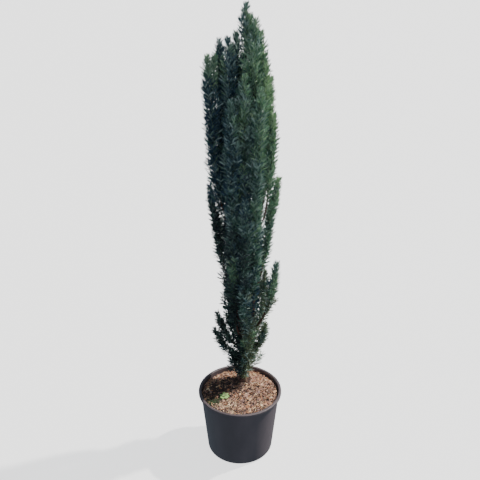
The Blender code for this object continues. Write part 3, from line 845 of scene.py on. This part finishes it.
def add_bark(batch, name, limb, sides):
    """A limb with ridged, flaking bark, and a collar where it leaves its parent."""
    heights = bark_line(limb)
    line = np.array([limb.axis(height) for height in heights])
    ways = unit(np.gradient(line, axis=0))
    across, other = across_frames(ways)
    rings = []
    for k, height in enumerate(heights):
        radius = limb.radius(height)
        if name == "trunk":
            lobe = FLARE_LOBE_DEPTH * math.exp(-height / FLARE_HEIGHT)
        else:
            lobe = 0.0
            radius *= 1 + COLLAR_SWELL * math.exp(-(height - limb.low) / COLLAR_HEIGHT)
        ring = []
        for i in range(sides):
            a = 2 * math.pi * i / sides
            spoke = across[k] * math.cos(a) + other[k] * math.sin(a)
            place = Vector((math.cos(a) * radius * 420, math.sin(a) * radius * 420, height * 95))
            strips = noise.noise(place) + 0.5 * abs(noise.noise(place * 2.3))
            relief = BARK_RELIEF * min(1.0, radius / TRUNK_RADIUS + 0.25) * strips
            ring.append(line[k] + spoke * (radius * (1 + lobe * math.sin(FLARE_LOBES * a)) + relief))
        rings.append(ring)
    if name == "trunk":
        for point in rings[0]:
            point[2] = FOOT_Z
    tip = line[-1] + ways[-1] * BOUGH_TIP_RADIUS
    points = np.concatenate((np.array(rings).reshape(-1, 3), tip[None]))
    batch.add(points[None], tube_triangles(len(rings), sides), 0)


def make_wood(limbs):
    colours = ((0.050, 0.024, 0.018), (0.130, 0.062, 0.042), (0.210, 0.120, 0.085))
    bark = grained("bark", colours, (0.72, 0.92), 60.0, (1.0, 1.0, 0.22), 0.8, 420.0)
    trunk = Batch()
    add_bark(trunk, "trunk", limbs["trunk"], TRUNK_SIDES)
    show("trunk_bark", trunk.mesh("trunk_bark", True), [bark], ["trunk"])
    boughs = Batch()
    names = [name for name in limbs if name != "trunk"]
    for name in names:
        add_bark(boughs, name, limbs[name], BOUGH_SIDES)
    show("bough_bark", boughs.mesh("bough_bark", True), [bark], names)


# Needles

# A needle is a closed tube of three sides: an edge, a ridge and an edge at its root and near its end, and a tip
NEEDLE_TRIANGLES = tube_triangles(2, 3)
NEEDLE_UNDERSIDE = np.array((1, 0, 0, 0, 0, 1, 1, 0, 0, 1))


def add_needles(batch, roots, ways, outs, rolls, lengths, width, tones):
    """Slim blades with a ridge on the upper side and a flat underside, curving a little, each rolled its own way."""
    flat = unit(np.cross(ways, outs))
    upper = np.cross(ways, flat)
    across = flat * np.cos(rolls)[:, None] + upper * np.sin(rolls)[:, None]
    over = np.cross(ways, across)
    long = lengths[:, None]
    points = []
    for share, size in NEEDLE_RINGS:
        centre = roots + (ways * share + over * NEEDLE_CURVE * share**2) * long
        edge = across * width * size / 2
        points += [centre + edge, centre + over * NEEDLE_THICKNESS, centre - edge]
    points.append(roots + (ways + over * NEEDLE_CURVE) * long)
    points = np.stack(points, axis=1)
    batch.add(points, NEEDLE_TRIANGLES, NEEDLE_UNDERSIDE + 2 * tones[:, None])


@dataclass(frozen=True)
class Clothing:
    """How needles stand on a twig: the step between them, their width and length, and how many more at its tip."""

    step: float
    width: float
    length: float
    at_tip: int


SHOOT_CLOTHING = Clothing(step=0.0029, width=0.0028, length=0.0205, at_tip=6)
STEM_CLOTHING = Clothing(step=0.0030, width=0.0028, length=0.0205, at_tip=0)
LEADER_CLOTHING = Clothing(step=0.0006, width=0.0027, length=0.0175, at_tip=16)
INNER_CLOTHING = Clothing(step=0.0055, width=0.0055, length=0.0220, at_tip=2)


def clothe(batch, line, tone, draw, clothing):
    """Needles all round a twig, more upright and shorter towards its tip if it ends in one."""
    legs = np.diff(line, axis=0)
    runs = np.concatenate(([0.0], np.cumsum(np.linalg.norm(legs, axis=1))))
    along = np.arange(clothing.step / 2, runs[-1], clothing.step)
    at_tip = draw.uniform(max(0.0, runs[-1] - TIP_ZONE), runs[-1], clothing.at_tip)
    along = np.sort(np.concatenate((along, at_tip)))
    count = len(along)
    towards_tip = np.clip(1 - (runs[-1] - along) / TIP_ZONE, 0, 1) * (clothing.at_tip > 0)
    roots = np.stack([np.interp(along, runs, line[:, i]) for i in range(3)], axis=1)
    leg = np.clip(np.searchsorted(runs, along) - 1, 0, len(legs) - 1)
    ways = unit(legs)[leg]
    across, other = across_frames(ways)
    turn = draw.uniform(0, 2 * math.pi) + GOLDEN_ANGLE * np.arange(count) + draw.normal(0, 0.25, count)
    outs = across * np.cos(turn)[:, None] + other * np.sin(turn)[:, None]
    lean = NEEDLE_LEAN + (TIP_NEEDLE_LEAN - NEEDLE_LEAN) * towards_tip + draw.normal(0, LEAN_SPREAD, count)
    lean = lean[:, None]
    lengths = clothing.length * draw.uniform(0.8, 1.12, count) * (1 - TIP_SHORTENING * towards_tip)
    rolls = draw.uniform(-NEEDLE_ROLL, NEEDLE_ROLL, count)
    ways = ways * np.cos(lean) + outs * np.sin(lean)
    # A share of the needles takes the lighter tone: painted highlight
    shine_tone = PAINTED_SHINE_TONES.get(tone, tone)
    tones = np.where(draw.random(count) < PAINTED_SHINE_SHARE, TONE_NAMES.index(shine_tone), TONE_NAMES.index(tone))
    add_needles(batch, roots, ways, outs, rolls, lengths, clothing.width, tones)


def tone_at(point, outward, draw):
    """The tone of a spray, with painted light: deepest inside and on the left as painted shade, lightest on the
    right, on the outside and up the crown as painted sunlight, with a random spread.
    """
    right = point[0] - FOOT_X
    height = point[2] - FOOT_Z
    if right > 0 and height < OLIVE_TOP and draw.random() < OLIVE_SHARE:
        return "olive"
    # Painted light: sprays are lighter to the right, outwards and up the crown, darker inside and on the left
    light = TONE_MIDDLE + PAINTED_LIGHT_ACROSS * right / CROWN_RADIUS + PAINTED_LIGHT_OUTWARD * outward
    light += PAINTED_LIGHT_UP * max(0.0, 2 * height / TRUNK_TOP - 1) + draw.normal(0, TONE_SPREAD)
    for tuft in FRESH_TUFTS:
        if np.linalg.norm(point - above_foot(*tuft)) < TUFT_SIZE:
            return "fresh"
    # Painted shade: the darkest sprays low in the crown take the dim tone
    if light < DIM_LIGHT and height < DIM_TOP:
        return "dim"
    return TONE_NAMES[int(np.clip(round(light), 0, BRIGHTEST))]


def shoot_heights(low, high):
    """Heights at which shoots leave a line, closer together near the foot of the plant."""
    heights = []
    z = low
    while z < high:
        z += BUSHY_SHOOT_STEP if z < BUSHY_TOP else SHOOT_STEP
        heights.append(z)
    return heights


class Crown:
    """Grows the shoots, twiglets and needles of the masses and limbs, each in its own space."""

    def __init__(self, limbs, stems):
        self.stems = stems
        self.lines = dict(stems)
        for name in ("trunk", "second_stem"):
            limb = limbs[name]
            count = round((limb.high - limb.low) / STEM_STEP)
            heights = np.linspace(limb.low, limb.high, count + 1)
            self.lines[name] = np.array([limb.axis(height) for height in heights])
        self.limbs = limbs
        self.places = np.concatenate(list(self.lines.values()))
        self.owners = np.concatenate([[name] * len(line) for name, line in self.lines.items()])
        self.twigs = Batch()
        self.shoots = []

    def is_own(self, name, points):
        """Whether points lie over the mix and nearer to their own stem than to any other."""
        if points[:, 2].min() < FOOT_Z:
            return False
        gaps = np.linalg.norm(points[:, None] - self.places[None], axis=2)
        own = gaps[:, self.owners == name].min(axis=1)
        slack = np.where(points[:, 2] < BUSHY_TOP, BUSHY_SLACK, SLACK)
        return bool((own <= gaps.min(axis=1) + slack).all())

    def add_shoot(self, needles, foot, way, out, length, reach, tone, draw, clothing=SHOOT_CLOTHING):
        """A shoot that leans out and then turns up beside its parent, with its needles. Returns its line."""
        share = np.linspace(0, 1, SHOOT_SPANS + 1)[:, None]
        lateral = reach * (1 - np.exp(-TURN_UP * share)) / (1 - math.exp(-TURN_UP))
        line = foot + way * length * share + out * lateral
        self.shoots.append(line)
        clothe(needles, line, tone, draw, clothing)
        return line

    def grow_shoots(self, name, line, reach_most, needles, draw, clothing=SHOOT_CLOTHING):
        """Shoots all along a line, in a spiral, each where there is room for it."""
        low, top = line[0][2], line[-1][2]
        leader = min(LEADER_LENGTH, LEADER_SHARE * (top - low))
        turn = draw.uniform(0, 2 * math.pi)
        ways = unit(np.gradient(line, axis=0))
        for z in shoot_heights(low, top - leader):
            hidden = clothing is INNER_CLOTHING and BUSHY_TOP < z < INNER_TOP
            k, part = divmod((z - low) / (top - low) * (len(line) - 1), 1)
            k = min(int(k), len(line) - 2)
            foot = line[k] + (line[k + 1] - line[k]) * part
            across, other = across_frames(ways[k])
            usual = BUSHY_SHOOT_LENGTH if z < BUSHY_TOP else SHOOT_LENGTH
            length = min(usual * draw.uniform(0.65, 1.2), SPIRE * (top - z))
            length = max(SHORTEST_SHOOT, length)
            for _ in range(TRIES):
                turn += GOLDEN_ANGLE + draw.normal(0, 0.2)
                out = across * math.cos(turn) + other * math.sin(turn)
                outward = float(np.dot((foot - trunk_axis(z - FOOT_Z))[:2], out[:2])) / CROWN_RADIUS
                cut = LEFT_REACH_CUT if out[0] < 0 else RIGHT_REACH_CUT
                reach = reach_most * draw.uniform(0.55, 1.0) * (1 - cut * np.clip(outward, 0, 1))
                reach = min(reach, 0.5 * length, SPIRE_SLOPE * (top - z))
                if hidden:
                    reach *= HIDDEN_REACH_SHARE
                tip = foot + ways[k] * length + out * reach
                if self.is_own(name, np.array((foot + ways[k] * length / 2 + out * reach, tip))):
                    tone = tone_at(tip, outward, draw)
                    worn = INNER_CLOTHING if hidden else SHOOT_CLOTHING
                    # Hidden inner shoots always take the deep tone: painted shade inside the crown
                    tone = "deep" if hidden else tone
                    shoot = self.add_shoot(needles, foot, ways[k], out, length, reach, tone, draw, worn)
                    if length > LONG_SHOOT and not hidden and z > BUSHY_TOP:
                        self.add_side_twig(needles, shoot, tone, draw)
                    break

    def add_side_twig(self, needles, shoot, tone, draw):
        """A twiglet low on a long shoot, on the side towards the trunk."""
        way = unit(shoot[-1] - shoot[0])
        across, other = across_frames(way)
        foot = shoot[round(SIDE_TWIG_SHARE * SHOOT_SPANS)]
        turn = draw.uniform(0, 2 * math.pi)
        out = across * math.cos(turn) + other * math.sin(turn)
        if np.dot((foot - trunk_axis(foot[2] - FOOT_Z))[:2], out[:2]) > 0:
            out = -out
        length = SIDE_TWIG_LENGTH * draw.uniform(0.75, 1.2)
        self.add_shoot(needles, foot, way, out, length, SIDE_TWIG_REACH * length, tone, draw)

    def add_stem(self, line, foot_radius):
        radii = np.linspace(foot_radius, STEM_TIP_RADIUS, len(line) - 1)
        self.twigs.add(tubes(line[None], radii[None], STEM_SIDES), tube_triangles(len(line) - 1, STEM_SIDES), 0)

    def add_side_tip(self, stem, tip, needles, draw):
        """A second leader that leaves a mass's stem."""
        def stem_axis(height):
            return np.array([np.interp(FOOT_Z + height, stem[:, 2], stem[:, i]) for i in range(3)])

        axis = rising_axis(tip.parent, stem_axis, tip, tip.leaves, tip.early)
        line = np.array([axis(height) for height in np.arange(tip.leaves, tip.top, STEM_STEP)])
        self.add_stem(line, SHOOT_RADIUS)
        clothe(needles, line, tone_at(line[-1], 0.0, draw), draw, LEADER_CLOTHING)

    def grow_mass(self, name, needles):
        """The leader with its needles, and the shoots on it and on the upper part of its bough."""
        draw = np.random.default_rng([SEED, *name.encode()])
        line = self.stems[name]
        self.add_stem(line, BOUGH_TIP_RADIUS)
        for tip in SIDE_TIPS:
            if tip.parent == name:
                self.add_side_tip(line, tip, needles, draw)
        count = max(1, round((len(line) - 1) / SPRAY_STEPS))
        ends = np.linspace(0, len(line) - 1, count + 1).round().astype(int)
        for first, last in zip(ends[:-1], ends[1:]):
            part = line[first : last + 1]
            clothing = LEADER_CLOTHING if last == ends[-1] else STEM_CLOTHING
            clothe(needles, part, tone_at(part[-1], 0.0, draw), draw, clothing)
        bough = self.limbs.get("bough_" + name)
        bare = SPARSE.get(name, BARE_BOUGH)
        if bough and bare < 1:
            heights = np.arange(bough.low + bare * (bough.high - bough.low), bough.high, STEM_STEP)
            line = np.concatenate(([bough.axis(height) for height in heights], line))
        reach_most = SPARSE_SHOOT_REACH if name in SPARSE else SHOOT_REACH
        self.grow_shoots(name, line, reach_most, needles, draw)

    def make(self):
        finishes = []
        for name, sides in NEEDLE_TONES.items():
            for side, colour, roughness in zip(("over", "under"), sides, NEEDLE_ROUGHNESS):
                finishes.append(plain(f"needle_{name}_{side}", colour, roughness))
        for group, names in GROUPS.items():
            needles = Batch()
            for name in names:
                self.grow_mass(name, needles)
            piece = "needles_" + group
            nodes = ["needles_" + name for name in names]
            show(piece, needles.mesh(piece, False), finishes, nodes)
        inner = Batch()
        for name in ("trunk", "second_stem"):
            draw = np.random.default_rng([SEED, *name.encode()])
            self.grow_shoots(name, self.lines[name], LIMB_REACH, inner, draw, INNER_CLOTHING)
        show("needles_inner", inner.mesh("needles_inner", False), finishes)
        lines = np.array(self.shoots)
        radii = np.linspace(SHOOT_RADIUS, SHOOT_TIP_RADIUS, SHOOT_SPANS)
        radii = np.broadcast_to(radii, (len(lines), SHOOT_SPANS))
        self.twigs.add(tubes(lines, radii, SHOOT_SIDES), tube_triangles(SHOOT_SPANS, SHOOT_SIDES), 1)
        wood = [plain("twig_brown", (0.085, 0.048, 0.030), 0.8), plain("twig_green", (0.060, 0.085, 0.030), 0.6)]
        show("twigs", self.twigs.mesh("twigs", True), wood)


# Stage


def make_sun(name, place, strength, angle, colour):
    """A far lamp that shines from a place towards the origin."""
    light = bpy.data.lights.new(name, "SUN")
    light.energy = strength
    light.angle = math.radians(angle)
    light.color = colour
    made = bpy.data.objects.new(name, light)
    made.rotation_euler = Vector(place).to_track_quat("Z", "Y").to_euler()
    bpy.context.scene.collection.objects.link(made)


def make_stage():
    """A pale glowing floor, a key light from the right and a little behind, and a weak light all round."""
    far = FLOOR_HALF_WIDTH
    floor = bpy.data.meshes.new("floor")
    floor.from_pydata([(-far, -far, 0), (far, -far, 0), (far, far, 0), (-far, far, 0)], [], [(0, 1, 2, 3)])
    finish = plain("floor", FLOOR_COLOUR, 0.9)
    shader = finish.node_tree.nodes["Principled BSDF"]
    shader.inputs["Emission Color"].default_value = (1.0, 1.0, 1.0, 1.0)
    shader.inputs["Emission Strength"].default_value = FLOOR_GLOW
    floor.materials.append(finish)
    shape = bmesh.new()
    bmesh.ops.create_uvsphere(shape, u_segments=96, v_segments=48, radius=BACKDROP_RADIUS)
    backdrop = bpy.data.meshes.new("backdrop")
    shape.to_mesh(backdrop)
    shape.free()
    paper = plain("backdrop", (0.0, 0.0, 0.0), 1.0)
    paper.node_tree.nodes["Principled BSDF"].inputs["Emission Color"].default_value = BACKDROP_COLOUR
    paper.node_tree.nodes["Principled BSDF"].inputs["Emission Strength"].default_value = BACKDROP_GLOW
    backdrop.materials.append(paper)
    for name, mesh in (("floor", floor), ("backdrop", backdrop)):
        made = bpy.data.objects.new(name, mesh)
        made.visible_diffuse = False
        made.visible_glossy = False
        made.visible_shadow = False
        bpy.context.scene.collection.objects.link(made)
    world = bpy.data.worlds.new("studio")
    world.use_nodes = True
    world.node_tree.nodes["Background"].inputs["Color"].default_value = (0.66, 0.83, 1.0, 1.0)
    world.node_tree.nodes["Background"].inputs["Strength"].default_value = WORLD_LIGHT
    bpy.context.scene.world = world
    make_sun("key", KEY_PLACE, KEY_LIGHT, KEY_ANGLE, (1.0, 0.965, 0.90))
    make_sun("fill", FILL_PLACE, FILL_LIGHT, FILL_ANGLE, (0.90, 0.95, 1.0))


def make_camera():
    lens = bpy.data.cameras.new("camera")
    lens.lens = CAMERA_LENS
    lens.sensor_width = CAMERA_SENSOR
    camera = bpy.data.objects.new("camera", lens)
    camera.location = CAMERA_PLACE
    camera.rotation_euler = (math.pi / 2 - CAMERA_TILT, 0.0, 0.0)
    bpy.context.scene.collection.objects.link(camera)
    bpy.context.scene.camera = camera


make_camera()
make_stage()
make_pot()
make_mix()
plan = plan_limbs()
make_wood(plan)
Crown(plan, plan_stems(plan)).make()
